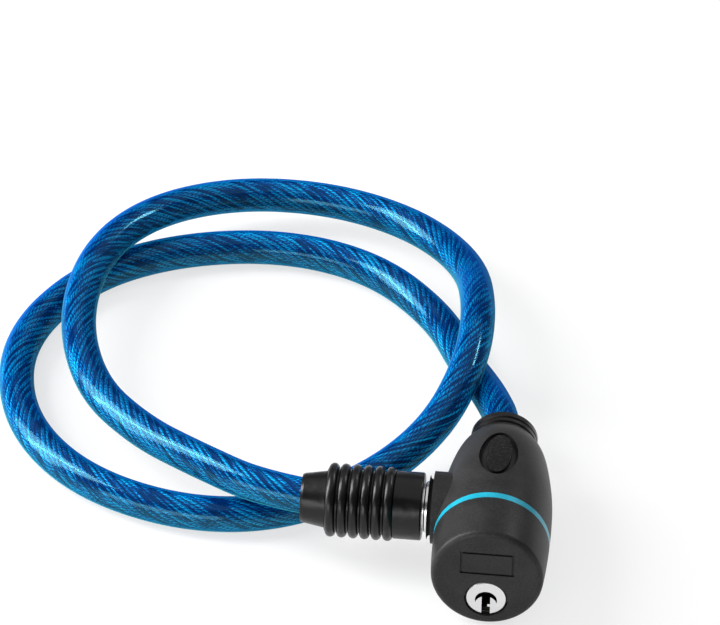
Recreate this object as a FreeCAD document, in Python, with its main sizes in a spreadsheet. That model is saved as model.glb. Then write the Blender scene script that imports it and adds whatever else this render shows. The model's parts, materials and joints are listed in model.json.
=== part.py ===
import FreeCAD, Part
import math
import os
import Sketcher
from FreeCAD import Placement, Rotation, Vector

# Keyed cable lock for luggage, bags and cycles.
# Frame: millimetres, +Z up, origin on the barrel's axis in the middle of the flat key face.
# +Y runs along the barrel from the key face to the neck, and the bolt slides in from -X.
# The lock and its cable lie on the plane z = -ring_deep.

os.makedirs("parts", exist_ok=True)
doc = FreeCAD.newDocument("cable_lock")
sheet = doc.addObject("Spreadsheet::Sheet", "Dims")

SIZES = (
    # barrel: widest at the accent ring, and drawn in from there by these amounts on each side
    ("ring_half", 19.1, "half width at the ring"),
    ("belly", 1.9, "how much deeper than wide it is below the axis, at the ring"),
    ("ring_at", 18.5, "middle of the accent ring"),
    ("ring_wide", 2.4, "accent ring along the barrel"),
    ("face_in", 0.9, "key face"),
    ("hip_at", 30.0, "widest stretch ends"),
    ("hip_in", 0.1, "there"),
    ("waist_at", 40.0, "rear cover starts to close in"),
    ("waist_in", 0.8, "there"),
    ("back_at", 48.5, "rear cover, back"),
    ("back_in", 2.1, "there"),
    ("throat_at", 59.0, "rear cover, throat"),
    ("throat_in", 4.6, "there"),
    ("neck_at", 64.3, "rear cover ends"),
    ("neck_in", 7.3, "there"),
    ("cover_wall", 2.2, "plastic wall"),
    ("face_round", 2.0, "edge round of the key face"),
    ("seat_gap", 0.05, "clearance between pieces that are fixed to each other"),
    ("run_gap", 0.08, "clearance of pieces that slide or turn, on the radius"),
    # bare plate on the key face, inside one groove
    ("plate_half", 8.8, "plate with its groove, half width"),
    ("plate_low", 0.6, "its lower edge"),
    ("plate_high", 9.8, "its upper edge"),
    ("plate_line", 0.8, "width of the groove"),
    ("plate_sunk", 0.6, "groove depth"),
    # oval grip pad on top of the rear cover
    ("dish_at", 42.0, "middle of the dish along Y"),
    ("dish_half", 6.4, "dish, half width"),
    ("dish_long", 12.6, "dish, half length"),
    ("dish_sunk", 1.4, "dish depth"),
    ("pad_half", 4.3, "pad, half width"),
    ("pad_long", 11.2, "pad, half length"),
    ("pad_shy", 0.15, "pad below the cover's surface"),
    # neck collar
    ("collar_in", 0.6, "collar inside the cover's end"),
    ("collar_bore", 6.7, "collar bore radius"),
    ("spigot_rad", 8.4, "collar's spigot in the cover"),
    ("neck_wall", 2.6, "cover's wall at the neck"),
    ("collar_long", 7.5, "collar behind the cover"),
    ("ring_groove", 0.6, "groove round the collar, and its edge chamfer"),
    # key cylinder
    ("shell_under", 1.15, "casting under the key cylinder"),
    ("head_rad", 6.8, "plug head"),
    ("head_shy", 0.4, "plug head below the key face"),
    ("head_gap", 0.35, "gap round the plug head"),
    ("plug_rad", 5.2, "plug barrel"),
    ("plug_end", 23.2, "plug barrel's end"),
    ("tail_rad", 3.5, "plug tail under the clip"),
    ("stem_rad", 2.5, "plug stem under the cam"),
    ("shell_rad", 6.9, "cylinder housing round the plug"),
    ("tower_half", 4.0, "pin tower, half width"),
    ("tower_tall", 15.6, "pin tower above the plug's axis"),
    ("pin_first", 5.5, "first pin stack"),
    ("pin_step", 3.5, "pitch of the pin stacks"),
    ("pin_rad", 1.3, "tumbler pins"),
    ("driver_long", 3.8, "driver pins"),
    ("key_pin_long", 5.0, "middle key pin"),
    ("shear_gap", 0.25, "key pins below the plug's surface"),
    ("strip_thick", 0.8, "strip that closes the pin tower"),
    ("strip_half", 2.6, "strip, half width"),
    ("keyway_half", 1.4, "keyway, half width"),
    ("arch_rad", 3.6, "crescent recess over the keyway"),
    ("arch_wide", 1.8, "its width at the top"),
    ("arch_deep", 2.6, "its depth from the cover's face"),
    ("arch_drop", 0.8, "its centre below the plug's axis"),
    ("clip_thick", 1.0, "retaining clip"),
    ("clip_rad", 6.1, "retaining clip outside"),
    # cam and latch
    ("cam_rad", 5.0, "cam disc"),
    ("cam_thick", 2.0, "cam disc"),
    ("crank_rad", 1.5, "crank pin"),
    ("crank_long", 4.6, "crank pin"),
    ("latch_lift", 1.8, "latch travel for a quarter turn"),
    ("latch_half", 1.8, "latch, half width along the bolt"),
    ("latch_wide", 8.2, "latch across the bolt"),
    ("latch_under", 4.0, "latch's foot below the plug's axis"),
    ("latch_gap", 0.15, "latch below the bolt when open"),
    ("slot_deep", 3.2, "crank slot in the latch"),
    # bolt
    ("bolt_at", 32.5, "bolt's axis along Y"),
    ("bolt_rad", 5.0, "bolt"),
    ("bolt_tip", 5.0, "bolt's tip past the barrel's axis"),
    ("bolt_nose", 1.2, "chamfer at the tip"),
    ("groove_half", 2.1, "latch groove, half width"),
    ("groove_rad", 3.2, "bolt left under the groove"),
    ("bolt_sunk", 10.8, "bolt in its ferrule"),
    ("boss_rad", 12.0, "socket boss"),
    ("boss_out", 2.8, "boss's face out of the barrel's side"),
    ("boss_round", 1.4, "edge round of the boss"),
    ("bush_rad", 6.2, "steel bush"),
    ("bush_long", 11.9, "bush inside the boss"),
    ("flange_rad", 8.5, "bush flange"),
    ("flange_thick", 1.2, "bush flange"),
    ("ferrule_rad", 7.0, "ferrule"),
    ("ferrule_long", 25.3, "ferrule"),
    ("stop_rad", 7.5, "ferrule collar"),
    ("crimp_wide", 2.0, "crimped ring round a ferrule"),
    ("crimp_sunk", 0.5, "its depth"),
    ("stop_thick", 0.5, "ferrule collar"),
    # ribbed rubber sleeve
    ("sleeve_gap", 0.1, "ferrule collar from the bush"),
    ("sleeve_long", 40.2, "sleeve"),
    ("sleeve_cuff", 9.2, "plain cuff next to the lock"),
    ("cuff_rad", 11.25, "cuff"),
    ("rib_step", 3.8, "pitch of the ribs"),
    ("rib_rad", 12.25, "over the ribs"),
    ("rib_foot", 10.4, "between the ribs"),
    ("cone_big", 9.5, "cone at the ribs"),
    ("cone_small", 8.2, "cone at the mouth"),
    ("mouth_rad", 7.6, "bore at the mouth"),
    # cable
    ("cable_rad", 6.0, "plastic sheath"),
    ("rope_rad", 3.8, "steel rope"),
    ("cable_root", 56.0, "sheath's end inside the neck"),
    ("cable_short", 1.5, "sheath's other end before the bolt's ferrule"),
    ("cable_off", 1.0, "there, off the bolt's axis"),
    ("anchor_rad", 6.5, "anchor ferrule"),
    ("anchor_root", 40.5, "anchor ferrule's inner end"),
    ("rope_root", 46.2, "rope's end in the anchor"),
    ("dowel_rad", 1.5, "anchor dowel"),
    ("dowel_at", 43.5, "anchor dowel along Y"),
    ("dowel_half", 12.5, "anchor dowel, half length"),
    ("cross_rad", 0.9, "pin that holds the key cylinder"),
    ("cross_half", 11.0, "half its length"),
    ("cross_up", 11.3, "above the plug's axis"),
    ("cross_edge", 0.5, "housing's wall behind it"),
)


class Size:
    """A length with its number and the sheet formula that gives it."""

    def __init__(self, value, text):
        self.value = value
        self.text = text

    def join(self, other, sign, value):
        other = size(other)
        return Size(value(self.value, other.value), "(%s %s %s)" % (self.text, sign, other.text))

    def __add__(self, other):
        return self.join(other, "+", lambda a, b: a + b)

    def __radd__(self, other):
        return size(other) + self

    def __sub__(self, other):
        return self.join(other, "-", lambda a, b: a - b)

    def __rsub__(self, other):
        return size(other) - self

    def __mul__(self, other):
        return self.join(other, "*", lambda a, b: a * b)

    def __rmul__(self, other):
        return size(other) * self

    def __truediv__(self, other):
        return self.join(other, "/", lambda a, b: a / b)

    def __neg__(self):
        return size(0) - self


def size(number):
    """A plain number as a Size; a Size stays as it is."""
    return number if isinstance(number, Size) else Size(float(number), "%.6g" % number)


def fill_sheet():
    """Write the driving dimensions to the sheet and return them by name."""
    found = {}
    for row, (name, value, note) in enumerate(SIZES, start=1):
        sheet.set("A%d" % row, name)
        sheet.set("B%d" % row, "%g" % value)
        sheet.setAlias("B%d" % row, name)
        sheet.set("C%d" % row, note)
        found[name] = Size(float(value), "Dims.%s" % name)
    doc.recompute()
    return found


D = fill_sheet()
ALONG = {
    "X": Rotation(Vector(0, 1, 0), 90),
    "Y": Rotation(Vector(1, 0, 0), -90),
    "Z": Rotation(),
}


# ---------------------------------------------------------------- helpers

def bind(item, prop, amount):
    """Set a property and tie it to the sheet."""
    amount = size(amount)
    setattr(item, prop, amount.value)
    item.setExpression(prop, amount.text)


def put(item, x, y, z, turn=None):
    """Place an object and tie its place to the sheet."""
    spot = [size(v) for v in (x, y, z)]
    item.Placement = Placement(Vector(*[s.value for s in spot]), turn or Rotation())
    for axis, amount in zip("xyz", spot):
        item.setExpression("Placement.Base.%s" % axis, amount.text)
    return item


def rod(name, axis, radius, start, end, x=0, y=0, z=0):
    """A cylinder along an axis from start to end; x, y, z place it across."""
    item = doc.addObject("Part::Cylinder", name)
    bind(item, "Radius", radius)
    bind(item, "Height", size(end) - start)
    spot = {"X": x, "Y": y, "Z": z}
    spot[axis] = start
    return put(item, spot["X"], spot["Y"], spot["Z"], ALONG[axis])


def block(name, xs, ys, zs):
    """A box between two values on each axis."""
    item = doc.addObject("Part::Box", name)
    for prop, (low, high) in zip(("Length", "Width", "Height"), (xs, ys, zs)):
        bind(item, prop, size(high) - low)
    return put(item, xs[0], ys[0], zs[0])


def fuse(name, items):
    """One solid from several."""
    item = doc.addObject("Part::MultiFuse", name)
    item.Shapes = items
    return item


def cut(name, base, tools):
    """The base less its tools."""
    item = doc.addObject("Part::Cut", name)
    item.Base = base
    item.Tool = tools[0] if len(tools) == 1 else fuse(name + "_tools", tools)
    return item


def common(name, base, tool):
    """What two solids share."""
    item = doc.addObject("Part::Common", name)
    item.Base = base
    item.Tool = tool
    return item


def new_body(name):
    """A PartDesign body at the origin."""
    return doc.addObject("PartDesign::Body", name)


def sketch_on(body, role="XY_Plane"):
    """A sketch on one of the body's own origin planes."""
    plane = next(o for o in body.Origin.OriginFeatures if o.Role == role)
    sketch = body.newObject("Sketcher::SketchObject", body.Name + "_sketch")
    sketch.AttachmentSupport = [(plane, "")]
    sketch.MapMode = "FlatFace"
    return sketch


def pin_point(sketch, index, which, spot):
    """Tie a point of the sketch to the sheet, measured from the origin."""
    for kind, amount in zip(("DistanceX", "DistanceY"), spot):
        if amount is not None:
            rule = Sketcher.Constraint(kind, -1, 1, index, which, size(amount).value)
            sketch.setExpression("Constraints[%d]" % sketch.addConstraint(rule), size(amount).text)


def outline(sketch, points, arcs=None):
    """Closed outline through points; arcs[i] is the centre of an arc from point i to the next."""
    arcs = arcs or {}
    count = len(points)
    for i, here in enumerate(points):
        after = points[(i + 1) % count]
        start = Vector(size(here[0]).value, size(here[1]).value, 0)
        end = Vector(size(after[0]).value, size(after[1]).value, 0)
        if i in arcs:
            hub = Vector(size(arcs[i][0]).value, size(arcs[i][1]).value, 0)
            middle = (start + end) * 0.5 - hub
            reach = (start - hub).Length
            if middle.Length < reach * 0.01:
                middle = Vector(start.y - end.y, end.x - start.x, 0)
            top = hub + middle.normalize() * reach
            sketch.addGeometry(Part.Arc(start, top, end))
        else:
            sketch.addGeometry(Part.LineSegment(start, end))
    first = [ends_of(sketch, i, points[i]) for i in range(count)]
    for i in range(count):
        after = (i + 1) % count
        sketch.addConstraint(Sketcher.Constraint("Coincident", i, first[i][1], after, first[after][0]))
    for i, here in enumerate(points):
        pin_point(sketch, i, first[i][0], here)
    for i, hub in arcs.items():
        flat = abs((size(points[(i + 1) % count][0]) - points[i][0]).value)
        tall = abs((size(points[(i + 1) % count][1]) - points[i][1]).value)
        pin_point(sketch, i, 3, (None, hub[1]) if flat > tall else (hub[0], None))


def ends_of(sketch, index, start):
    """Which end of a line or arc lies at its start point: (start, end)."""
    shape = sketch.Geometry[index]
    away = (shape.StartPoint - Vector(size(start[0]).value, size(start[1]).value, 0)).Length
    return (1, 2) if away < 1e-6 else (2, 1)


def turned(name, axis, points, arcs=None, at=(0, 0, 0)):
    """A revolved body. Along X the points are (x, radius); along Y they are (radius, y)."""
    body = new_body(name)
    sketch = sketch_on(body)
    outline(sketch, points, arcs)
    turn = body.newObject("PartDesign::Revolution", name + "_turned")
    turn.Profile = (sketch, [""])
    turn.ReferenceAxis = (sketch, ["H_Axis" if axis == "X" else "V_Axis"])
    turn.Angle = 360
    put(body, *at)
    return body


def padded(name, role, points, depth):
    """A body padded from an outline on one of its origin planes."""
    body = new_body(name)
    sketch = sketch_on(body, role)
    outline(sketch, points)
    pad = body.newObject("PartDesign::Pad", name + "_pad")
    pad.Profile = (sketch, [""])
    bind(pad, "Length", depth)
    return body


def dress(name, base, kind, amount, pick):
    """Round or chamfer the edges of a solid that pick() chooses."""
    body = new_body(name)
    body.BaseFeature = base
    doc.recompute()
    source = body.Group[0]
    edges = ["Edge%d" % n for n, e in enumerate(source.Shape.Edges, start=1) if pick(e)]
    item = body.newObject("PartDesign::" + kind, name + "_edges")
    item.Base = (source, edges)
    bind(item, "Radius" if kind == "Fillet" else "Size", amount)
    return body


# ---------------------------------------------------------------- covers

STATIONS = (
    (size(0), D["face_in"], 1.15),
    (D["ring_at"], size(0), 1.0),
    (D["hip_at"], D["hip_in"], 0.8),
    (D["waist_at"], D["waist_in"], 0.55),
    (D["back_at"], D["back_in"], 0.3),
    (D["throat_at"], D["throat_in"], 0.1),
    (D["neck_at"], D["neck_in"], 0.0),
)
UPRIGHT = Rotation(Vector(1, 1, 1), 240)


def barrel(name, inset):
    """The barrel's form, drawn in by inset: its top is round and its belly hangs a share of belly lower."""
    rings = []
    for number, (along, narrow, share) in enumerate(STATIONS):
        half = D["ring_half"] - narrow
        sag = D["belly"] * share / 2
        ring = doc.addObject("Part::Ellipse", "%s_%d" % (name, number))
        bind(ring, "MajorRadius", half + sag - inset)
        bind(ring, "MinorRadius", half - inset)
        rings.append(put(ring, 0, along, -sag, UPRIGHT))
    item = doc.addObject("Part::Loft", name)
    item.Sections = rings
    item.Solid = True
    item.Ruled = False
    return item


def slab(name, start, end):
    """Everything between two stations along the barrel."""
    wide = D["ring_half"] * 1.5
    return block(name, (-wide, wide), (start, end), (-wide, wide))


ring_front = D["ring_at"] - D["ring_wide"] / 2
ring_rear = D["ring_at"] + D["ring_wide"] / 2
room_rad = D["ring_half"] - D["cover_wall"]
room_z = -D["belly"] / 2
plug_z = room_z - room_rad + D["shell_under"] + D["shell_rad"]
neck_inner = D["neck_at"] - D["neck_wall"]
beyond = D["ring_half"] * 1.5
tower_top = plug_z + D["tower_tall"]
boss_end = D["ring_half"] + D["boss_out"]
bush_root = boss_end - D["bush_long"]
stop_out = -boss_end - D["flange_thick"] - D["sleeve_gap"]
sleeve_out = stop_out - D["stop_thick"]
sleeve_in = sleeve_out - D["sleeve_long"]
ferrule_end = D["ferrule_long"] - stop_out
bolt_root = D["bolt_sunk"] - stop_out
outside = barrel("outside", 0)


def inner_form(name, gap):
    """The covers' room as a turned form; the lock body is the same form less a gap."""
    wide = room_rad - gap
    return turned(name, "Y", (
        (0, D["cover_wall"] + gap),
        (wide, D["cover_wall"] + gap),
        (wide, D["hip_at"]),
        (wide - D["waist_in"], D["waist_at"]),
        (wide - D["back_in"], D["back_at"]),
        (wide - D["throat_in"], D["throat_at"]),
        (wide - D["neck_in"], neck_inner - gap),
        (0, neck_inner - gap),
    ), at=(0, 0, room_z))


def front_cover():
    """Cap round the key cylinder, with the plug's hole and a bare plate inside a groove."""
    blank = common("front_blank", outside, slab("front_slab", 0, ring_front))
    rounded = dress("front_round", blank, "Fillet", D["face_round"],
                    lambda e: e.BoundBox.YMax < 0.1)
    hole = rod("front_hole", "Y", D["head_rad"] + D["head_gap"], -1, D["cover_wall"] + 1, z=plug_z)
    half, line, depth = D["plate_half"], D["plate_line"], (-1, D["plate_sunk"])
    low, high = D["plate_low"], D["plate_high"]
    plate = block("plate", (line - half, half - line), depth, (low + line, high - line))
    groove = cut("plate_groove", block("plate_outer", (-half, half), depth, (low, high)), [plate])
    return cut("front_cover", rounded, [inner_form("front_room", size(0)), hole, groove])


def accent_ring():
    """Coloured band between the two covers."""
    band = common("band", outside, slab("band_slab", ring_front, ring_rear))
    return cut("accent_ring", band, [inner_form("band_room", size(0))])


def oval(name, half, length):
    """Upright oval post through the top of the barrel."""
    edge = doc.addObject("Part::Ellipse", name + "_edge")
    bind(edge, "MajorRadius", length)
    bind(edge, "MinorRadius", half)
    put(edge, 0, D["dish_at"], 0, Rotation(Vector(0, 0, 1), 90))
    post = doc.addObject("Part::Extrusion", name)
    post.Base = edge
    post.DirMode = "Custom"
    post.Dir = Vector(0, 0, 1)
    bind(post, "LengthFwd", beyond)
    post.Solid = True
    return post


def rear_cover():
    """Cover from the ring to the neck, with the bolt's boss and the dish for the grip pad."""
    blank = common("rear_blank", outside, slab("rear_slab", ring_rear, D["neck_at"]))
    boss = turned(
        "boss", "X",
        (
            (-boss_end, 0),
            (-boss_end, D["boss_rad"] - D["boss_round"]),
            (-boss_end + D["boss_round"], D["boss_rad"]),
            (-bush_root, D["boss_rad"]),
            (-bush_root, 0),
        ),
        {1: (-boss_end + D["boss_round"], D["boss_rad"] - D["boss_round"])},
        (0, D["bolt_at"], 0),
    )
    room = inner_form("rear_room", size(0))
    neck = rod("neck_hole", "Y", D["spigot_rad"] + D["seat_gap"], neck_inner - 1, D["neck_at"] + 1)
    socket = rod("boss_hole", "X", D["bush_rad"] + D["seat_gap"], -boss_end - 1, 0, y=D["bolt_at"])
    skin = cut("dish_skin", outside, [barrel("dish_floor", D["dish_sunk"])])
    dish = common("dish", skin, oval("dish_post", D["dish_half"], D["dish_long"]))
    return cut("rear_cover", fuse("rear_whole", [blank, boss]), [room, neck, socket, dish])


def grip_pad():
    """Oval pad in the dish."""
    layer = cut("pad_layer", barrel("pad_top", D["pad_shy"]), [barrel("pad_floor", D["dish_sunk"])])
    return common("grip_pad", layer, oval("pad_post", D["pad_half"], D["pad_long"]))


def neck_collar():
    """Soft collar round the cable, with its spigot in the cover."""
    start, bore, groove = D["neck_at"], D["collar_bore"], D["ring_groove"]
    outer = D["ring_half"] - D["neck_in"] - D["collar_in"]
    long = D["collar_long"]
    end = start + long
    half_turned = [
        (bore, neck_inner),
        (D["spigot_rad"], neck_inner),
        (D["spigot_rad"], start),
        (outer, start),
    ]
    for middle in (0.27, 0.60):
        half_turned += [
            (outer, start + long * (middle - 0.07)),
            (outer - groove, start + long * (middle - 0.03)),
            (outer - groove, start + long * (middle + 0.03)),
            (outer, start + long * (middle + 0.07)),
        ]
    half_turned += [
        (outer, end - groove),
        (outer - groove, end),
        (bore + groove / 2, end),
        (bore, end - groove / 2),
    ]
    return turned("neck_collar", "Y", half_turned)


# ---------------------------------------------------------------- key cylinder

PIN_COUNT = 5
RIB_COUNT = 6
KEY_PIN_SHARES = (0.92, 1.08, 0.84, 1.0, 0.96)
shear = plug_z + D["plug_rad"]
strip_low = tower_top - D["strip_thick"]
shell_front = D["cover_wall"] + D["seat_gap"]


def stack_at(number):
    """Place of a pin stack along Y."""
    return D["pin_first"] + D["pin_step"] * number


def cylinder_housing():
    """Brass housing: a round shell for the plug and a tower for the pins."""
    round_part = rod("shell_round", "Y", D["shell_rad"], shell_front, D["plug_end"], z=plug_z)
    tower = block("shell_tower", (-D["tower_half"], D["tower_half"]), (shell_front, D["plug_end"]),
                  (plug_z, tower_top))
    tools = [rod("shell_bore", "Y", D["plug_rad"] + D["run_gap"], 0, D["plug_end"] + 1, z=plug_z)]
    for number in range(PIN_COUNT):
        tools.append(rod("shell_chamber_%d" % number, "Z", D["pin_rad"] + D["run_gap"],
                         plug_z, tower_top + 1, y=stack_at(number)))
    tools.append(block("strip_slot", (-D["strip_half"] - D["seat_gap"], D["strip_half"] + D["seat_gap"]),
                       (0, D["plug_end"] + 1), (strip_low, tower_top + 1)))
    tools.append(rod("shell_cross", "X", D["cross_rad"] + D["seat_gap"], -D["tower_half"] - 1,
                     D["tower_half"] + 1, y=cross_y, z=cross_z))
    return cut("cylinder_housing", fuse("shell_whole", [round_part, tower]), tools)


cross_y = D["plug_end"] - D["cross_rad"] - D["cross_edge"]
cross_z = plug_z + D["cross_up"]


def cylinder_pin():
    """Cross pin that holds the key cylinder in the lock body."""
    return rod("cylinder_pin", "X", D["cross_rad"], -D["cross_half"], D["cross_half"], y=cross_y, z=cross_z)


def pin_cover():
    """Strip pressed over the pin springs."""
    return block("pin_cover", (-D["strip_half"], D["strip_half"]),
                 (shell_front, D["plug_end"]), (strip_low, tower_top))


def key_plug():
    """Plug with its bright head, keyway, pin chambers, and tail for the clip and the cam."""
    clip_end = D["plug_end"] + D["clip_thick"] + D["seat_gap"] * 2
    stem_end = clip_end + D["cam_thick"]
    head_back = shell_front - D["run_gap"]
    blank = turned("plug_blank", "Y", (
        (0, D["head_shy"]),
        (D["head_rad"] - 0.4, D["head_shy"]),
        (D["head_rad"], D["head_shy"] + 0.4),
        (D["head_rad"], head_back),
        (D["plug_rad"], head_back),
        (D["plug_rad"], D["plug_end"]),
        (D["tail_rad"], D["plug_end"]),
        (D["tail_rad"], clip_end),
        (D["stem_rad"], clip_end),
        (D["stem_rad"], stem_end),
        (0, stem_end),
    ), at=(0, 0, plug_z))
    half, rear = D["keyway_half"], D["plug_end"] - 1.6
    arch_z = plug_z - D["arch_drop"]
    tools = [
        cut("face_arch", rod("arch_outer", "Y", D["arch_rad"], -1, D["arch_deep"], z=arch_z),
            [rod("arch_inner", "Y", D["arch_rad"] - 0.1, -2, D["arch_deep"] + 1,
                 z=arch_z - D["arch_wide"])]),
        block("keyway_top", (-half, half), (0, rear), (plug_z - 2.4, plug_z + 0.8)),
        block("keyway_ward", (-half, half * 0.35), (0, rear), (plug_z - 3.5, plug_z - 2.3)),
        block("keyway_foot", (-half, half), (0, rear), (plug_z - D["head_rad"] - 1, plug_z - 3.4)),
        block("keyway_notch", (-0.8, 0.8), (0, D["head_shy"] + 1.6), (plug_z, plug_z + 2.6)),
        block("stem_flat", (-D["stem_rad"], D["stem_rad"]), (clip_end, stem_end + 1),
              (plug_z + D["stem_rad"] * 0.6, plug_z + D["stem_rad"] + 1)),
    ]
    for number in range(PIN_COUNT):
        tools.append(rod("plug_chamber_%d" % number, "Z", D["pin_rad"] + D["run_gap"],
                         plug_z - 2.6, plug_z + D["plug_rad"] + 1, y=stack_at(number)))
    return cut("key_plug", blank, tools)


def plug_clip():
    """Open ring that keeps the plug in its housing."""
    start = D["plug_end"] + D["seat_gap"]
    end = start + D["clip_thick"]
    disc = rod("clip_disc", "Y", D["clip_rad"], start, end, z=plug_z)
    bore = rod("clip_bore", "Y", D["tail_rad"] + D["seat_gap"], start - 1, end + 1, z=plug_z)
    mouth = block("clip_mouth", (-D["tail_rad"] * 0.8, D["tail_rad"] * 0.8), (start - 1, end + 1),
                  (plug_z - D["clip_rad"] - 1, plug_z - 1))
    return cut("plug_clip", disc, [bore, mouth])


def key_pins():
    """Key pins in the plug, held at the shear line; their tips are tapered."""
    pins = []
    for number, share in enumerate(KEY_PIN_SHARES):
        length = D["key_pin_long"] * share
        top = shear - D["shear_gap"]
        shank = rod("key_pin_shank_%d" % number, "Z", D["pin_rad"], top - length + 1, top,
                    y=stack_at(number))
        tip = doc.addObject("Part::Cone", "key_pin_tip_%d" % number)
        bind(tip, "Radius1", D["pin_rad"] * 0.45)
        bind(tip, "Radius2", D["pin_rad"])
        bind(tip, "Height", 1)
        put(tip, 0, stack_at(number), top - length)
        pins.append(fuse("key_pin_%d" % number, [shank, tip]))
    return grouped("key_pins", pins)


def driver_pins():
    """Driver pins in the tower, their feet at the shear line."""
    low = shear + D["run_gap"]
    return grouped("driver_pins", [
        rod("driver_pin_%d" % n, "Z", D["pin_rad"], low, low + D["driver_long"], y=stack_at(n))
        for n in range(PIN_COUNT)
    ])


def pin_springs():
    """Coil springs between the driver pins and the strip."""
    low = (shear + D["run_gap"] + D["driver_long"]).value
    wire = 0.2
    tall = strip_low.value - low - 2 * wire - 0.1
    coils = []
    for number in range(PIN_COUNT):
        turns = 3
        radius = D["pin_rad"].value - wire - 0.1
        path = Part.makeLongHelix(tall / turns, tall, radius)
        section = Part.Wire(Part.makePolygon([
            Vector(radius - wire, 0, -wire), Vector(radius + wire, 0, -wire),
            Vector(radius + wire, 0, wire), Vector(radius - wire, 0, wire), Vector(radius - wire, 0, -wire),
        ]))
        coil = Part.Wire(path.Edges).makePipeShell([section], True, True)
        coil.translate(Vector(0, stack_at(number).value, low + wire + 0.05))
        coils.append(coil)
    return shaped("pin_springs", Part.makeCompound(coils))


def grouped(name, items):
    """Separate solids in one object."""
    item = doc.addObject("Part::Compound", name)
    item.Links = items
    return item


def shaped(name, shape):
    """An object whose shape is worked out above."""
    item = doc.addObject("Part::Feature", name)
    item.Shape = shape
    item.Placement = Placement()
    return item


# ---------------------------------------------------------------- cam and latch

cam_front = D["plug_end"] + D["clip_thick"] + D["seat_gap"] * 2
cam_rear = cam_front + D["cam_thick"]
throw = D["latch_lift"] * (math.sqrt(0.5))
crank_x = -throw * math.sqrt(0.5)
crank_z = plug_z - throw * math.sqrt(0.5)
latch_front = D["bolt_at"] - D["latch_wide"] / 2
latch_rear = D["bolt_at"] + D["latch_wide"] / 2
latch_top = -D["bolt_rad"] - D["latch_gap"]
latch_low = D["latch_under"] - plug_z


def drive_cam():
    """Disc on the plug's stem with a crank pin that lifts the latch."""
    disc = rod("cam_disc", "Y", D["cam_rad"], cam_front, cam_rear, z=plug_z)
    pin = rod("cam_crank", "Y", D["crank_rad"], cam_rear - 0.5, cam_rear + D["crank_long"],
              x=crank_x, z=crank_z)
    stem = rod("cam_bore", "Y", D["stem_rad"] + D["seat_gap"], cam_front - 1, cam_rear, z=plug_z)
    flat = block("cam_flat", (-D["stem_rad"] - 1, D["stem_rad"] + 1), (cam_front - 2, cam_rear + 1),
                 (plug_z + D["stem_rad"] * 0.6 + D["seat_gap"], plug_z + D["stem_rad"] + 2))
    hole = cut("cam_hole", stem, [flat])
    return fuse("drive_cam", [cut("cam_plate", disc, [hole]), common("cam_pin", pin, pin_room())])


def pin_room():
    """Stretch behind the cam disc in which the crank pin stands."""
    wide = D["cam_rad"]
    return block("crank_room", (-wide, wide), (cam_rear, cam_rear + D["crank_long"] + 1),
                 (plug_z - wide, plug_z + wide))


def latch():
    """Sliding latch with a cross slot for the crank pin; its top enters the bolt's groove."""
    tall = latch_top + latch_low
    half = D["latch_half"]
    bar = padded("latch_bar", "XY_Plane", (
        (-half, latch_front), (half, latch_front), (half, latch_rear), (-half, latch_rear),
    ), tall)
    edged = dress("latch_edged", bar, "Chamfer", 0.4,
                  lambda e: e.BoundBox.ZMin > (tall - 0.01).value and e.BoundBox.YLength > 1)
    put(edged, 0, 0, -latch_low)
    reach = D["crank_rad"] + D["run_gap"]
    slot = block("latch_slot", (-half - 1, half + 1), (latch_front - 1, latch_front + D["slot_deep"]),
                 (crank_z - reach, crank_z + reach))
    return cut("latch", edged, [slot])


# ---------------------------------------------------------------- lock body

def lock_body():
    """Die-cast body under the covers, with the rooms for everything that it holds."""
    fit, run = D["seat_gap"], D["run_gap"]
    rear = neck_inner - fit
    blank = inner_form("body_blank", fit)
    channel = run
    tools = [
        rod("body_shell", "Y", D["shell_rad"] + fit, 0, D["plug_end"], z=plug_z),
        block("body_tower", (-D["tower_half"] - fit, D["tower_half"] + fit), (0, D["plug_end"]),
              (plug_z, tower_top + fit)),
        rod("body_cam", "Y", D["clip_rad"] + 0.3, D["plug_end"] - 0.5, cam_rear + 0.3, z=plug_z),
        rod("body_crank", "Y", throw + D["crank_rad"] + 0.3, cam_rear,
            cam_rear + D["crank_long"] + 0.3, z=plug_z),
        block("body_latch", (-D["latch_half"] - channel, D["latch_half"] + channel),
              (latch_front - channel, latch_rear + channel), (-latch_low - 0.2, 0)),
        rod("body_bolt", "X", D["bolt_rad"] + 0.15, -beyond, D["bolt_tip"] + 0.8, y=D["bolt_at"]),
        rod("body_bush", "X", D["bush_rad"] + fit, -beyond, -bush_root, y=D["bolt_at"]),
        rod("body_anchor", "Y", D["anchor_rad"] + fit, D["anchor_root"] - fit, rear + 1),
        rod("body_dowel", "Z", D["dowel_rad"] + fit, -D["dowel_half"], beyond, y=D["dowel_at"]),
        rod("body_cross", "X", D["cross_rad"] + fit, -beyond, D["cross_half"], y=cross_y, z=cross_z),
    ]
    return cut("lock_body", blank, tools)


def anchor_dowel():
    """Dowel through the anchor ferrule."""
    return rod("anchor_dowel", "Z", D["dowel_rad"], -D["dowel_half"], D["dowel_half"], y=D["dowel_at"])


def anchor_ferrule():
    """Crimped ferrule on the rope's fixed end."""
    start, end, outer = D["anchor_root"], D["cable_root"], D["anchor_rad"]
    crimp, sunk = D["crimp_wide"], D["crimp_sunk"]
    bore = D["rope_rad"] + D["seat_gap"]
    ferrule = turned("anchor_turned", "Y", (
        (0, start),
        (outer - sunk, start),
        (outer, start + sunk),
        (outer, end - crimp * 2.5),
        (outer - sunk, end - crimp * 2.25),
        (outer - sunk, end - crimp * 1.25),
        (outer, end - crimp),
        (outer, end),
        (bore, end),
        (bore, D["rope_root"] - D["seat_gap"]),
        (0, D["rope_root"] - D["seat_gap"]),
    ))
    hole = rod("anchor_hole", "Z", D["dowel_rad"] + D["seat_gap"], -beyond, beyond,
               y=D["dowel_at"])
    return cut("anchor_ferrule", ferrule, [hole])


# ---------------------------------------------------------------- bolt

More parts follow.
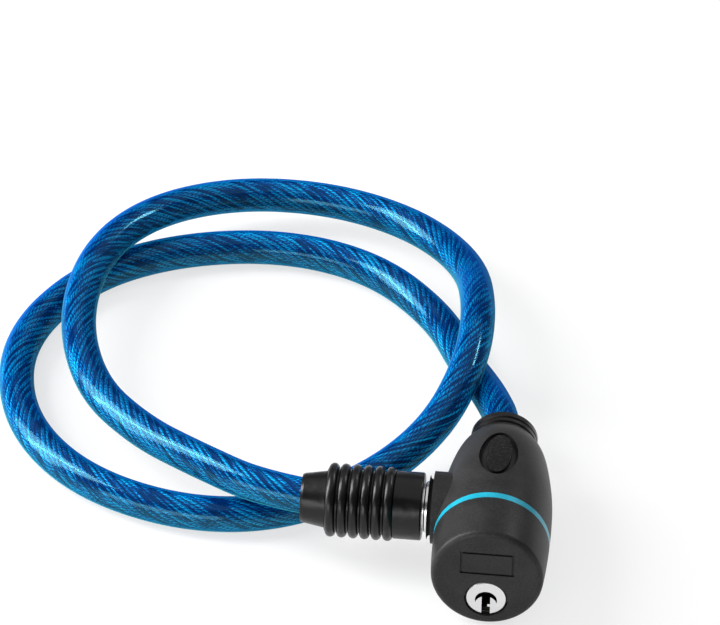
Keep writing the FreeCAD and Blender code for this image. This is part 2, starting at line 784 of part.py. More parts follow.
def socket_bush():
    """Steel bush in the boss; the bolt runs in it."""
    bore = D["bolt_rad"] + D["run_gap"]
    face = -boss_end - D["flange_thick"]
    return turned("socket_bush", "X", (
        (face, bore + 0.4),
        (face, D["flange_rad"] - 0.4),
        (face + 0.4, D["flange_rad"]),
        (-boss_end, D["flange_rad"]),
        (-boss_end, D["bush_rad"]),
        (-bush_root - D["seat_gap"], D["bush_rad"]),
        (-bush_root - D["seat_gap"], bore),
        (face + 0.4, bore),
    ), at=(0, D["bolt_at"], 0))


def bolt_pin():
    """Steel bolt with the groove that the latch enters."""
    half, full, root = D["groove_half"], D["bolt_rad"], D["groove_rad"]
    return turned("bolt_pin", "X", (
        (-bolt_root, 0),
        (-bolt_root, full),
        (-half, full),
        (-half, root),
        (half, root),
        (half, full),
        (D["bolt_tip"] - D["bolt_nose"], full),
        (D["bolt_tip"], full - D["bolt_nose"]),
        (D["bolt_tip"], 0),
    ), at=(0, D["bolt_at"], 0))


def bolt_ferrule():
    """Steel ferrule that joins the bolt to the cable, with the collar that shows beside the sleeve."""
    bore = D["bolt_rad"] + D["seat_gap"]
    outer, crimp, sunk = D["ferrule_rad"], D["crimp_wide"], D["crimp_sunk"]
    return turned("bolt_ferrule", "X", (
        (-ferrule_end, 0),
        (-ferrule_end, outer),
        (-ferrule_end + crimp * 2, outer),
        (-ferrule_end + crimp * 2.25, outer - sunk),
        (-ferrule_end + crimp * 3.25, outer - sunk),
        (-ferrule_end + crimp * 3.5, outer),
        (sleeve_out, outer),
        (sleeve_out, D["stop_rad"]),
        (stop_out, D["stop_rad"]),
        (stop_out, bore),
        (-bolt_root - D["seat_gap"], bore),
        (-bolt_root - D["seat_gap"], 0),
    ), at=(0, D["bolt_at"], 0))


def plug_sleeve():
    """Ribbed rubber sleeve: plain cuff, round ribs, and a cone with a wide mouth for the cable."""
    snug = D["ferrule_rad"] + D["seat_gap"]
    cuff = sleeve_out - D["sleeve_cuff"]
    ribs_end = cuff - D["rib_step"] * RIB_COUNT
    bore_end = -ferrule_end - D["seat_gap"] * 2
    tubing = turned("sleeve_tubing", "X", (
        (sleeve_out, snug),
        (sleeve_out, D["cuff_rad"] - 0.6),
        (sleeve_out - 0.6, D["cuff_rad"]),
        (cuff, D["cuff_rad"]),
        (cuff, D["rib_foot"]),
        (ribs_end, D["rib_foot"]),
        (ribs_end, D["cone_big"]),
        (sleeve_in + 0.8, D["cone_small"]),
        (sleeve_in, D["cone_small"] - 0.35),
        (sleeve_in, D["mouth_rad"]),
        (bore_end, D["mouth_rad"]),
        (bore_end, snug),
    ), {1: (sleeve_out - 0.6, D["cuff_rad"] - 0.6)}, (0, D["bolt_at"], 0))
    bulge = D["rib_step"] / 2 - 0.25
    ribs = []
    for number in range(RIB_COUNT):
        rib = doc.addObject("Part::Torus", "rib_%d" % number)
        bind(rib, "Radius1", D["rib_rad"] - bulge)
        bind(rib, "Radius2", bulge)
        ribs.append(put(rib, cuff - D["rib_step"] * (number + 0.5), D["bolt_at"], 0, ALONG["X"]))
    return fuse("plug_sleeve", [tubing] + ribs)


# ---------------------------------------------------------------- cable

# The cable leaves the neck, drops to the ground and makes one and four fifths loose turns: it goes
# over itself once near the neck, once far left and once in front of the sleeve. It starts on the
# barrel's axis inside the neck, and ends in the sleeve's mouth a little off the bolt's axis.
ROUTE = (
    (0, D["cable_root"].value, 0), (0, 77, 0), (-7, 99, -4.5),
    (-17, 124, -12.5), (-29, 153, -15), (-54, 178.5, -15),
    (-88.5, 188, -15), (-127, 180.5, -15), (-156.5, 160, -15), (-174, 122.5, -15), (-167.5, 81.5, -15),
    (-143.5, 51.5, -15), (-107.5, 37, -15), (-73.5, 40, -15), (-44, 59.5, -13.5), (-24, 78.5, -5),
    (-14.5, 104, 3.5), (-13.5, 132.5, 5), (-19.5, 167.5, -2.5), (-41, 195, -7), (-72.5, 209, -8.5),
    (-107, 206.5, -7), (-135.5, 187.5, -3.5), (-151, 157, -0.5), (-153.5, 122, -3), (-142.5, 88, -5),
    (-122.5, 66, -4.5), (-102.5, 51, -2), (-76, 35, -0.5),
    (-(ferrule_end + D["cable_short"]).value, (D["bolt_at"] - D["cable_off"]).value, 0),
)


def tube_path(points):
    """Straight runs joined by tangent arcs, as large as the shorter run beside each allows."""
    edges = []
    here = points[0]
    radii = []
    for before, corner, after in zip(points, points[1:], points[2:]):
        back = (before - corner).normalize()
        ahead = (after - corner).normalize()
        turn = math.pi - back.getAngle(ahead)
        reach = 0.45 * min((before - corner).Length, (after - corner).Length)
        radius = reach / math.tan(turn / 2)
        inward = (back + ahead).normalize()
        top = corner + inward * (radius / math.cos(turn / 2) - radius)
        start = corner + back * reach
        end = corner + ahead * reach
        edges.append(Part.LineSegment(here, start).toShape())
        edges.append(Part.Arc(start, top, end).toShape())
        radii.append(radius)
        here = end
    edges.append(Part.LineSegment(here, points[-1]).toShape())
    return Part.Wire(edges), radii


def cable_sheath():
    """Plastic-coated cable, one round tube from the neck to the mouth of the sleeve."""
    path, radii = tube_path([Vector(*p) for p in ROUTE])
    radius = D["cable_rad"].value
    ring = Part.Wire(Part.makeCircle(radius, Vector(*ROUTE[0]), Vector(0, 1, 0)))
    sheath = path.makePipeShell([ring], True, False)
    print("cable length %.1f, least bend radius %.1f" % (path.Length, min(radii)))
    print("bend radii " + " ".join("%.0f" % r for r in radii))
    print("volume %.0f, section times length %.0f" % (sheath.Volume, math.pi * radius ** 2 * path.Length))
    return shaped("cable_sheath", sheath)


def cable_rope():
    """Bare end of the steel rope, from the sheath into the anchor ferrule."""
    return rod("cable_rope", "Y", D["rope_rad"], D["rope_root"], D["cable_root"])


# ---------------------------------------------------------------- build and write

def build():
    """Every sub-part under the name of its file."""
    return {
        "front_cover": front_cover(),
        "accent_ring": accent_ring(),
        "rear_cover": rear_cover(),
        "grip_pad": grip_pad(),
        "neck_collar": neck_collar(),
        "lock_body": lock_body(),
        "cylinder_housing": cylinder_housing(),
        "cylinder_pin": cylinder_pin(),
        "pin_cover": pin_cover(),
        "key_plug": key_plug(),
        "plug_clip": plug_clip(),
        "key_pins": key_pins(),
        "driver_pins": driver_pins(),
        "pin_springs": pin_springs(),
        "drive_cam": drive_cam(),
        "latch": latch(),
        "anchor_ferrule": anchor_ferrule(),
        "anchor_dowel": anchor_dowel(),
        "socket_bush": socket_bush(),
        "bolt_pin": bolt_pin(),
        "bolt_ferrule": bolt_ferrule(),
        "plug_sleeve": plug_sleeve(),
        "cable_sheath": cable_sheath(),
        "cable_rope": cable_rope(),
    }


parts = build()
doc.recompute()
faults = [o.Name for o in doc.Objects if "Invalid" in o.State or "Error" in o.State]
for name, item in parts.items():
    item.Label = name
    shape = item.Shape
    if shape.isNull() or not shape.isValid() or not shape.Solids:
        faults.append(name)
if faults:
    raise RuntimeError("failed: " + ", ".join(faults))
for name, item in parts.items():
    print("%-18s solids %d volume %.0f" % (name, len(item.Shape.Solids), item.Shape.Volume))
    item.Shape.exportStep("parts/%s.step" % name)
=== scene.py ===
import bpy
import json
import math
from mathutils import Matrix, Vector


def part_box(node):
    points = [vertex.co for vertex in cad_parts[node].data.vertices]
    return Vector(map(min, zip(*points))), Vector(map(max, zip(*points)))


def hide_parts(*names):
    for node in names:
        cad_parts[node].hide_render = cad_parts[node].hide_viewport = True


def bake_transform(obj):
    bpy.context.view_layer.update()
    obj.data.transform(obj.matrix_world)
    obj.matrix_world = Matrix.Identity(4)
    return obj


# Keyed cable lock, in metres: the barrel's key face is the origin, +Y runs to the neck, the bolt
# slides in from -X, and lock and cable lie on the floor.

MM = 0.001
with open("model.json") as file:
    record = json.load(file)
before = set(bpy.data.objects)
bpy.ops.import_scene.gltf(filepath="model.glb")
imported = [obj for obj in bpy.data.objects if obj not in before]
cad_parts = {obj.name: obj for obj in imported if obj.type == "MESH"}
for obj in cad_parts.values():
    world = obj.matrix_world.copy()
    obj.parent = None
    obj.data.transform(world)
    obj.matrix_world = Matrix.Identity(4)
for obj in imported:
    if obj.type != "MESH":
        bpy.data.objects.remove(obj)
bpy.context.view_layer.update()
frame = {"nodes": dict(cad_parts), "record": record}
floor_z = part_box("front_cover")[0][2]


# ---------------------------------------------------------------- camera

AZIMUTH = math.radians(-5.44)
ELEVATION = math.radians(38.0)
ROLL = math.radians(0.85)
LOOK_AT = Vector((-0.0552, 0.1333, 0.0))
CAMERA_AWAY = 1.716
SENSOR_MM = 36.0
LENS_MM = 248.05
FAR_CLIP = 50.0


def make_camera():
    """A long lens that looks down at the lock from its key end."""
    forward = Vector((
        math.sin(AZIMUTH) * math.cos(ELEVATION),
        math.cos(AZIMUTH) * math.cos(ELEVATION),
        -math.sin(ELEVATION),
    ))
    level = Vector((math.cos(AZIMUTH), -math.sin(AZIMUTH), 0))
    upright = level.cross(forward)
    right = level * math.cos(ROLL) + upright * math.sin(ROLL)
    up = upright * math.cos(ROLL) - level * math.sin(ROLL)
    data = bpy.data.cameras.new("camera")
    data.sensor_width = SENSOR_MM
    data.lens = LENS_MM
    data.clip_end = FAR_CLIP
    camera = bpy.data.objects.new("camera", data)
    bpy.context.collection.objects.link(camera)
    turn = Matrix((right, up, -forward)).transposed().to_4x4()
    camera.matrix_world = Matrix.Translation(LOOK_AT - forward * CAMERA_AWAY) @ turn
    bpy.context.scene.camera = camera


make_camera()


# ---------------------------------------------------------------- the cable's route

ROUTE_MM = (
    (0, 56, 0), (0, 77, 0), (-7, 99, -4.5), (-17, 124, -12.5), (-29, 153, -15),
    (-54, 178.5, -15), (-88.5, 188, -15), (-127, 180.5, -15), (-156.5, 160, -15),
    (-174, 122.5, -15), (-167.5, 81.5, -15), (-143.5, 51.5, -15), (-107.5, 37, -15),
    (-73.5, 40, -15), (-44, 59.5, -13.5), (-24, 78.5, -5), (-14.5, 104, 3.5), (-13.5, 132.5, 5),
    (-19.5, 167.5, -2.5), (-41, 195, -7), (-72.5, 209, -8.5), (-107, 206.5, -7),
    (-135.5, 187.5, -3.5), (-151, 157, -0.5), (-153.5, 122, -3), (-142.5, 88, -5),
    (-122.5, 66, -4.5), (-102.5, 51, -2), (-76, 35, -0.5), (-50, 31.5, 0),
)
CABLE_R = 6.0 * MM
STEP = 1.5 * MM
SPAN_POINTS = 24


def read_route():
    """Points along the smooth line that the route's points control, evenly spaced."""
    data = bpy.data.curves.new("route", "CURVE")
    data.dimensions = "3D"
    spline = data.splines.new("NURBS")
    spline.points.add(len(ROUTE_MM) - 1)
    for point, place in zip(spline.points, ROUTE_MM):
        point.co = [v * MM for v in place] + [1.0]
    spline.order_u = 3
    spline.use_endpoint_u = True
    spline.resolution_u = SPAN_POINTS
    holder = bpy.data.objects.new("route", data)
    bpy.context.collection.objects.link(holder)
    mesh = bpy.data.meshes.new_from_object(holder)
    raw = [v.co.copy() for v in mesh.vertices]
    bpy.data.objects.remove(holder)
    return evenly(raw)


def evenly(raw):
    """The same line with points a step apart."""
    reach = [0.0]
    for a, b in zip(raw, raw[1:]):
        reach.append(reach[-1] + (b - a).length)
    count = round(reach[-1] / STEP)
    line, at = [], 0
    for number in range(count + 1):
        want = reach[-1] * number / count
        while at < len(raw) - 2 and reach[at + 1] < want:
            at += 1
        share = (want - reach[at]) / (reach[at + 1] - reach[at])
        line.append(raw[at].lerp(raw[at + 1], share))
    return line


def carried_frames(line):
    """A pair of cross directions at each point, carried along the line without twist."""
    ahead = [(b - a).normalized() for a, b in zip(line, line[1:])]
    ahead = [ahead[0]] + [(a + b).normalized() for a, b in zip(ahead, ahead[1:])] + [ahead[-1]]
    side = Vector((1, 0, 0))
    frames = []
    for tangent in ahead:
        side = (side - tangent * side.dot(tangent)).normalized()
        frames.append((side, tangent.cross(side)))
    return frames


line = read_route()
cross = carried_frames(line)


# ---------------------------------------------------------------- shading helpers

def new_material(name, colour, roughness, metallic=0.0, coat=0.0, specular=0.5):
    """A material with one Principled shader."""
    material = bpy.data.materials.new(name)
    material.use_nodes = True
    shader = material.node_tree.nodes["Principled BSDF"]
    shader.inputs["Base Color"].default_value = (*colour, 1.0)
    shader.inputs["Roughness"].default_value = roughness
    shader.inputs["Metallic"].default_value = metallic
    shader.inputs["Coat Weight"].default_value = coat
    shader.inputs["Specular IOR Level"].default_value = specular
    return material, material.node_tree, shader


def noise(tree, scale, detail, vector=None):
    """A noise texture in object space or along a given vector."""
    node = tree.nodes.new("ShaderNodeTexNoise")
    node.inputs["Scale"].default_value = scale
    node.inputs["Detail"].default_value = detail
    source = vector or tree.nodes.new("ShaderNodeTexCoord").outputs["Object"]
    tree.links.new(source, node.inputs["Vector"])
    return node.outputs["Fac"]


def ramp(tree, fac, stops):
    """A colour ramp over a factor; stops are (place, colour)."""
    node = tree.nodes.new("ShaderNodeValToRGB")
    elements = node.color_ramp.elements
    while len(elements) < len(stops):
        elements.new(0.5)
    for element, (place, colour) in zip(elements, stops):
        element.position = place
        element.color = (*colour, 1.0)
    tree.links.new(fac, node.inputs["Fac"])
    return node.outputs["Color"]


def math_node(tree, operation, first, second=None):
    """One arithmetic step; the second value may be a number or another output."""
    node = tree.nodes.new("ShaderNodeMath")
    node.operation = operation
    tree.links.new(first, node.inputs[0])
    if isinstance(second, (int, float)):
        node.inputs[1].default_value = second
    elif second is not None:
        tree.links.new(second, node.inputs[1])
    return node.outputs["Value"]


def span(tree, fac, low, high, start=0.0, end=1.0):
    """Maps a factor between start and end to a range."""
    node = tree.nodes.new("ShaderNodeMapRange")
    node.inputs["From Min"].default_value = start
    node.inputs["From Max"].default_value = end
    node.inputs["To Min"].default_value = low
    node.inputs["To Max"].default_value = high
    tree.links.new(fac, node.inputs["Value"])
    return node.outputs["Result"]


def bump(tree, shader, height, strength, distance):
    """Fine relief from a height."""
    node = tree.nodes.new("ShaderNodeBump")
    node.inputs["Strength"].default_value = strength
    node.inputs["Distance"].default_value = distance
    tree.links.new(height, node.inputs["Height"])
    tree.links.new(node.outputs["Normal"], shader.inputs["Normal"])


CLOUD_SCALE = 110.0
WOBBLE_SCALE = 240.0
GRIP_SCALE = 1000.0
GRIP_RELIEF = 0.25 * MM
POLISH_SCALE = 260.0


def plastic(name, colour, roughness, grain, relief,
            coat=0.0, specular=0.3, speckle=0.25, wobble=0.0):
    """Moulded plastic: cloudy tone, fine speckle and grain, uneven gloss and a slight wobble.

    The grain is a texture scale; the relief and the wobble are heights.
    """
    material, tree, shader = new_material(name, colour, roughness, coat=coat, specular=specular)
    fine = noise(tree, grain, 2.0)
    broad = noise(tree, CLOUD_SCALE, 4.0)
    cloud = span(tree, broad, 0.82, 1.18, 0.35, 0.65)
    spots = span(tree, fine, 1.0 - speckle, 1.0 + speckle, 0.3, 0.7)
    tone = math_node(tree, "MULTIPLY", cloud, spots)
    dark = tuple(c * 0.5 for c in colour)
    light = tuple(min(1.0, c * 1.5) for c in colour)
    shades = ramp(tree, span(tree, tone, 0.0, 1.0, 0.5, 1.5), ((0.0, dark), (1.0, light)))
    tree.links.new(shades, shader.inputs["Base Color"])
    gloss = span(tree, broad, roughness - 0.05, roughness + 0.07)
    tree.links.new(gloss, shader.inputs["Roughness"])
    bump(tree, shader, fine, 0.5, relief)
    if wobble:
        grained = shader.inputs["Normal"].links[0].from_node
        waves = tree.nodes.new("ShaderNodeBump")
        waves.inputs["Strength"].default_value = 0.6
        waves.inputs["Distance"].default_value = wobble
        tree.links.new(noise(tree, WOBBLE_SCALE, 1.0), waves.inputs["Height"])
        tree.links.new(waves.outputs["Normal"], grained.inputs["Normal"])
    return material


def rubber_grain(name, colour, roughness):
    """Rough grip: small raised grains, their tops painted lighter as a painted highlight."""
    material, tree, shader = new_material(name, colour, roughness, specular=0.2)
    cells = tree.nodes.new("ShaderNodeTexVoronoi")
    cells.inputs["Scale"].default_value = GRIP_SCALE
    place = tree.nodes.new("ShaderNodeTexCoord").outputs["Object"]
    tree.links.new(place, cells.inputs["Vector"])
    grain = span(tree, cells.outputs["Distance"], 1.0, 0.0, 0.0, 0.6)
    # Painted highlight: the grain tops are coloured up to five times lighter than the hollows
    # between them.
    dark = tuple(c * 0.6 for c in colour)
    light = tuple(c * 3.0 for c in colour)
    tree.links.new(ramp(tree, grain, ((0.3, dark), (1.0, light))), shader.inputs["Base Color"])
    bump(tree, shader, grain, 0.8, GRIP_RELIEF)
    return material


def metal(name, colour, roughness, grain=900.0, relief=0.01 * MM):
    """Plain metal with a faint grain."""
    material, tree, shader = new_material(name, colour, roughness, metallic=1.0)
    broad = noise(tree, POLISH_SCALE, 3.0)
    polish = span(tree, broad, roughness * 0.8, roughness * 1.35)
    tree.links.new(polish, shader.inputs["Roughness"])
    bump(tree, shader, noise(tree, grain, 2.0), 0.2, relief)
    return material


PLUG_COLOUR = (0.70, 0.70, 0.71)
# Near black painted shade down the keyway, from BRIGHT_DEPTH to DARK_DEPTH behind the plug's face.
KEYWAY_PAINTED_SHADE = (0.02, 0.02, 0.02)
BRIGHT_DEPTH = 0.3 * MM
DARK_DEPTH = 1.2 * MM


def plug_metal():
    """The plug's bright face, with painted shade a little way down its keyway."""
    material = metal("plug", PLUG_COLOUR, 0.24)
    tree = material.node_tree
    plug = frame["nodes"]["key_plug"]
    face = plug.matrix_world.inverted() @ Vector((0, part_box("key_plug")[0][1], 0))
    place = tree.nodes.new("ShaderNodeTexCoord").outputs["Object"]
    depth = tree.nodes.new("ShaderNodeSeparateXYZ")
    tree.links.new(place, depth.inputs["Vector"])
    # Painted shade: darker the deeper a point lies behind the face.
    keyway_shade = span(tree, depth.outputs["Y"], 0.0, 1.0, face.y + BRIGHT_DEPTH, face.y + DARK_DEPTH)
    shades = ramp(tree, keyway_shade, ((0.0, PLUG_COLOUR), (1.0, KEYWAY_PAINTED_SHADE)))
    tree.links.new(shades, tree.nodes["Principled BSDF"].inputs["Base Color"])
    return material


# The record's material slots; the first number after a colour is its roughness.
MATERIALS = {
    "cover": plastic("cover", (0.020, 0.0198, 0.020), 0.42,
                     grain=1500.0, relief=0.07 * MM, specular=0.16),
    "grip": rubber_grain("grip", (0.004, 0.004, 0.0042), 0.55),
    "accent": plastic("accent", (0.004, 0.33, 0.47), 0.34,
                      grain=1600.0, relief=0.01 * MM, coat=0.15, speckle=0.06),
    "collar": plastic("collar", (0.006, 0.0057, 0.0055), 0.30,
                      grain=1400.0, relief=0.02 * MM, specular=0.35),
    "sleeve": plastic("sleeve", (0.0018, 0.0018, 0.0019), 0.29,
                      grain=1200.0, relief=0.02 * MM, specular=0.32, wobble=0.4 * MM),
    "bright": metal("bright", (0.80, 0.80, 0.81), 0.20),
    "steel": metal("steel", (0.52, 0.52, 0.54), 0.32),
    # The cylinder's pieces are coloured near black: painted shade for the dark depths of the
    # keyway, darker than their brass.
    "cylinder": metal("cylinder", (0.03, 0.027, 0.022), 0.55),
    "casting": metal("casting", (0.42, 0.42, 0.44), 0.45, grain=1500.0, relief=0.05 * MM),
}


# ---------------------------------------------------------------- CAD pieces that stay

def dress_nodes():
    """Every CAD piece but the cable's gets the material of its slot."""
    for part in frame["record"]["subparts"]:
        node, slot = part["node"], part["material_slot"]
        if node.startswith("cable_"):
            continue
        for holder in frame["nodes"][node].material_slots:
            holder.material = MATERIALS[slot]
    frame["nodes"]["key_plug"].material_slots[0].material = plug_metal()


def make_springs():
    """The springs: a steel copy of the CAD springs, in place of the hidden CAD piece."""
    node = frame["nodes"]["pin_springs"]
    springs = bpy.data.objects.new("coil_springs", node.data.copy())
    bpy.context.collection.objects.link(springs)
    springs.matrix_world = node.matrix_world
    springs.data.materials[0] = MATERIALS["steel"]
    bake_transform(springs)
    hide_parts("pin_springs")


# ---------------------------------------------------------------- cable

def sweep(name, radius, sides, material, spread=None, lane=0):
    """A closed tube along the cable's line.

    spread(number) gives the tube's offset in the cross frame and its roll at a step of the line.
    The lane sets the tube apart from its neighbours in the texture.
    """
    verts, faces, corners = [], [], []
    for number, (place, (side, over)) in enumerate(zip(line, cross)):
        centre, roll = place, 0.0
        if spread:
            off, roll = spread(number)
            centre = place + side * off[0] + over * off[1]
        for k in range(sides):
            angle = 2 * math.pi * k / sides + roll
            verts.append(centre + (side * math.cos(angle) + over * math.sin(angle)) * radius)
    rings = len(line)
    for number in range(rings - 1):
        for k in range(sides):
            a = number * sides + k
            b = number * sides + (k + 1) % sides
            faces.append((a, b, b + sides, a + sides))
            corners += [(k / sides, number), ((k + 1) / sides, number),
                        ((k + 1) / sides, number + 1), (k / sides, number + 1)]
    faces.append(tuple(reversed(range(sides))))
    faces.append(tuple(range((rings - 1) * sides, rings * sides)))
    corners += [(0.5, 0)] * sides + [(0.5, rings - 1)] * sides
    mesh = bpy.data.meshes.new(name)
    mesh.from_pydata(verts, [], faces)
    mesh.materials.append(material)
    uv = mesh.uv_layers.new(name="along")
    for loop, (u, v) in enumerate(corners):
        uv.data[loop].uv = (u + lane, v * STEP / (2 * math.pi * radius))
    mesh.update()
    mesh.shade_smooth()
    piece = bpy.data.objects.new(name, mesh)
    bpy.context.collection.objects.link(piece)
    return piece


# Shares of the cable's length in the weights that bend_with_bolt works out: none over the first,
# rising over the second, full over the rest.
STILL_SHARE = 0.12
BENDING_SHARE = 0.84


def bend_with_bolt(piece, tube_sides):
    """Bakes the piece's transform and works out a weight for each ring, none at the neck end and
    full at the other end; the weights are not applied.
    """
    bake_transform(piece)
    count = len(line)
    weights = []
    for sides in tube_sides:
        for number in range(count):
            share = number / (count - 1)
            share = min(1.0, max(0.0, (share - STILL_SHARE) / BENDING_SHARE))
            weights += [share * share * (3 - 2 * share)] * sides


SHEATH_TINT = (0.010, 0.55, 0.83)
# The haze's colour from the sheath's underside to its top: painted light, azure below, and painted
# shade, navy on top.
SHEATH_HAZE_PAINTED_LIGHT = (
    (0.0, (0.03, 0.34, 0.50)),
    (0.5, (0.03, 0.19, 0.28)),
    (1.0, (0.0, 0.058, 0.34)),
)
SHEATH_GLOSS = 0.044
GLOSS_TINT = (0.25, 0.80, 1.0)
GLOSS_ROUGHNESS = 0.14


def sheath_material():
    """Clear blue plastic under a gloss, with more haze at its rims, where more of it is crossed,
    and the haze painted lighter below and darker on top as painted light and shade.
    """
    material, tree, shader = new_material("sheath", (0.0, 0.17, 0.50), 0.3, specular=0.0)
    nodes, links = tree.nodes, tree.links
    clear = nodes.new("ShaderNodeBsdfTransparent")
    clear.inputs["Color"].default_value = (*SHEATH_TINT, 1.0)
    upward = nodes.new("ShaderNodeSeparateXYZ")
    links.new(nodes.new("ShaderNodeNewGeometry").outputs["Normal"], upward.inputs["Vector"])
    # Painted light and shade: the haze's colour follows which way the surface faces, lighter below,
    # navy on top.
    height = span(tree, upward.outputs["Z"], 0.0, 1.0, -0.6, 0.8)
    links.new(ramp(tree, height, SHEATH_HAZE_PAINTED_LIGHT), shader.inputs["Base Color"])
    facing = nodes.new("ShaderNodeLayerWeight")
    facing.inputs["Blend"].default_value = 0.5
    # Painted shade: the upward-facing sheath takes more of the navy haze.
    painted_top_shade = span(tree, upward.outputs["Z"], 0.0, 0.16)
    rim = math_node(tree, "ADD", facing.outputs["Facing"], painted_top_shade)
    body = nodes.new("ShaderNodeMixShader")
    links.new(span(tree, rim, 0.16, 0.95, 0.64, 0.90), body.inputs["Fac"])
    links.new(clear.outputs["BSDF"], body.inputs[1])
    links.new(shader.outputs["BSDF"], body.inputs[2])
    gloss = nodes.new("ShaderNodeBsdfGlossy")
    gloss.inputs["Roughness"].default_value = GLOSS_ROUGHNESS
    gloss.inputs["Color"].default_value = (*GLOSS_TINT, 1.0)
    surface = nodes.new("ShaderNodeMixShader")
    surface.inputs["Fac"].default_value = SHEATH_GLOSS
    links.new(body.outputs["Shader"], surface.inputs[1])
    links.new(gloss.outputs["BSDF"], surface.inputs[2])
    links.new(surface.outputs["Shader"], nodes["Material Output"].inputs["Surface"])
    return material


WIRE_SLANT = math.radians(-32)
WIRE_SCALE = 2.1
WIRE_WAVER = 6.0
WIRE_RELIEF = 0.2 * MM
# The wires' colour, from painted shade in the valleys to painted glints where the wires are
# brightest.
WIRE_SHADE_TO_GLINT = (
    (0.00, (0.01, 0.015, 0.08)),
    (0.22, (0.03, 0.07, 0.21)),
    (0.60, (0.32, 0.63, 0.74)),
    (1.00, (1.0, 1.0, 0.86)),
)


def wire_material():
    """Fine steel wires with painted light: painted shade dark in the valleys between strands and
    wires, lighter on the outer side of each strand, and painted glints where brightest.
    """
    material, tree, shader = new_material("wire", (0.55, 0.56, 0.58), 0.50, metallic=0.60)
    nodes, links = tree.nodes, tree.links
    uv = nodes.new("ShaderNodeUVMap")
    uv.uv_map = "along"
    around = nodes.new("ShaderNodeSeparateXYZ")
    links.new(uv.outputs["UV"], around.inputs["Vector"])
    angle = math_node(tree, "MULTIPLY", around.outputs["X"], 2 * math.pi)
    # Painted shade: each strand darker towards its sides, where the valleys between strands lie.
    valley_shade = span(tree, math_node(tree, "COSINE", angle), 0.45, 1.0, 0.0, 0.80)
    wires = nodes.new("ShaderNodeMapping")
    wires.inputs["Rotation"].default_value = (0, 0, WIRE_SLANT)
    links.new(uv.outputs["UV"], wires.inputs["Vector"])
    wave = nodes.new("ShaderNodeTexWave")
    wave.wave_type = "BANDS"
    wave.bands_direction = "X"
    wave.inputs["Scale"].default_value = WIRE_SCALE
    wave.inputs["Distortion"].default_value = WIRE_WAVER
    wave.inputs["Detail Scale"].default_value = 1.2
    links.new(wires.outputs["Vector"], wave.inputs["Vector"])
    slow = nodes.new("ShaderNodeMapping")
    slow.inputs["Scale"].default_value = (1.3, 0.45, 1.0)
    links.new(uv.outputs["UV"], slow.inputs["Vector"])
    patches = noise(tree, 1.0, 2.0, slow.outputs["Vector"])
    patches = span(tree, patches, 0.0, 1.50, 0.40, 0.72)
    light = math_node(tree, "MULTIPLY", valley_shade, patches)
    # Painted shade in the grooves between the wires, from the wave bands.
    light = math_node(tree, "MULTIPLY", light, span(tree, wave.outputs["Fac"], 0.15, 1.55))
    links.new(ramp(tree, light, WIRE_SHADE_TO_GLINT), shader.inputs["Base Color"])
    bump(tree, shader, wave.outputs["Fac"], 0.25, WIRE_RELIEF)
    return material


SHEATH_SIDES = 48
HEART_SIDES = 16
STRANDS = 16
STRAND_SIDES = 8
STRAND_R = 0.80 * MM
LAY_R = 4.55 * MM
LAY_PITCH = 56.0 * MM


def strand_offset(strand):
    """Where a strand lies round the cable's axis at each step of the line."""
    def spread(number):
        turn = 2 * math.pi * (strand / STRANDS + number * STEP / LAY_PITCH)
        return (LAY_R * math.cos(turn), LAY_R * math.sin(turn)), turn
    return spread


def joined(name, pieces):
    """One object from several, their meshes in order."""
    bpy.ops.object.select_all(action="DESELECT")
    for piece in pieces:
        piece.select_set(True)
    bpy.context.view_layer.objects.active = pieces[0]
    bpy.ops.object.join()
    pieces[0].name = name
    return pieces[0]


def make_cable():
    """Clear sheath over a twisted rope of wire strands round a heart coloured dark as painted shade
    between the strands.
    """
    wire = wire_material()
    # The heart's dark blue is painted shade in the gaps between the strands.
    heart, _, _ = new_material("heart", (0.03, 0.05, 0.20), 0.6)
    sheath = sweep("sheath_skin", CABLE_R, SHEATH_SIDES, sheath_material())
    pieces = [sweep("strand_%d" % n, STRAND_R, STRAND_SIDES, wire, strand_offset(n), lane=n)
              for n in range(STRANDS)]
    pieces.append(sweep("rope_heart", LAY_R, HEART_SIDES, heart))
    rope = joined("rope_strands", pieces)
    bend_with_bolt(rope, [STRAND_SIDES] * STRANDS + [HEART_SIDES])
    bend_with_bolt(sheath, [SHEATH_SIDES])
    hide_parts("cable_sheath")
    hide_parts("cable_rope")


# ---------------------------------------------------------------- floor and light

FLOOR_SIZE = 6.0
# How much of the floor is plain white when it is seen; the rest of it takes the shadow.
FLOOR_LIFT = 0.70


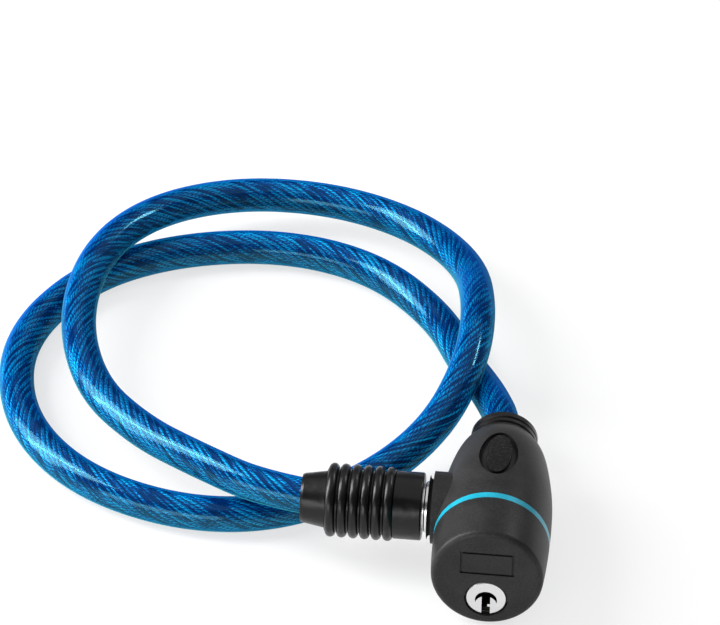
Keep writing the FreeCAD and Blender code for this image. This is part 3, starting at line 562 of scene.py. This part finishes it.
def make_floor():
    """White floor that keeps the lock's shadow."""
    bpy.ops.mesh.primitive_plane_add(size=FLOOR_SIZE, location=(0, 0, floor_z))
    floor = bpy.context.object
    floor.name = "floor"
    material, tree, shader = new_material("floor", (0.94, 0.94, 0.94), 0.9, specular=0.1)
    path = tree.nodes.new("ShaderNodeLightPath")
    seen = math_node(tree, "MAXIMUM", path.outputs["Is Camera Ray"], path.outputs["Is Glossy Ray"])
    seen = math_node(tree, "MAXIMUM", seen, path.outputs["Is Transmission Ray"])
    white = tree.nodes.new("ShaderNodeEmission")
    paler = tree.nodes.new("ShaderNodeMixShader")
    tree.links.new(math_node(tree, "MULTIPLY", seen, FLOOR_LIFT), paler.inputs["Fac"])
    tree.links.new(shader.outputs["BSDF"], paler.inputs[1])
    tree.links.new(white.outputs["Emission"], paler.inputs[2])
    tree.links.new(paler.outputs["Shader"], tree.nodes["Material Output"].inputs["Surface"])
    floor.data.materials.append(material)


HORIZON_GLOW = 0.32
OVERHEAD_GLOW = 0.10


def make_world():
    """Pale studio walls: brighter at the horizon than overhead."""
    world = bpy.data.worlds.new("world")
    world.use_nodes = True
    bpy.context.scene.world = world
    tree = world.node_tree
    background = tree.nodes["Background"]
    background.inputs["Color"].default_value = (1, 1, 1, 1)
    way = tree.nodes.new("ShaderNodeTexCoord").outputs["Generated"]
    height = tree.nodes.new("ShaderNodeSeparateXYZ")
    tree.links.new(way, height.inputs["Vector"])
    glow = span(tree, height.outputs["Z"], HORIZON_GLOW, OVERHEAD_GLOW, 0.12, 0.55)
    tree.links.new(glow, background.inputs["Strength"])


LAMP_AIM = Vector((-0.07, 0.12, 0))
# Name, place, width and height, power in watts.
LAMPS = (
    ("left_box", (-1.2, 0.16, 0.58), (0.7, 1.5), 31),
    ("left_strip", (-1.1, 0.16, 0.55), (0.08, 1.1), 6),
    ("right_strip", (0.78, 0.73, 0.84), (0.45, 0.12), 4),
    ("front_box", (-0.75, -1.3, 0.35), (1.6, 0.6), 12),
    ("overhead", (-0.1, 0.4, 1.5), (2.6, 2.6), 13),
)


def make_lamps():
    """Rectangular soft lamps, all turned to the middle of the cable's loops."""
    for name, place, size, power in LAMPS:
        data = bpy.data.lights.new(name, "AREA")
        data.shape = "RECTANGLE"
        data.size, data.size_y = size
        data.energy = power
        item = bpy.data.objects.new(name, data)
        bpy.context.collection.objects.link(item)
        item.location = place
        item.rotation_euler = (LAMP_AIM - Vector(place)).to_track_quat("-Z", "Y").to_euler()


make_floor()
make_world()
make_lamps()
dress_nodes()
make_springs()
make_cable()

bpy.context.scene.view_settings.view_transform = "Standard"
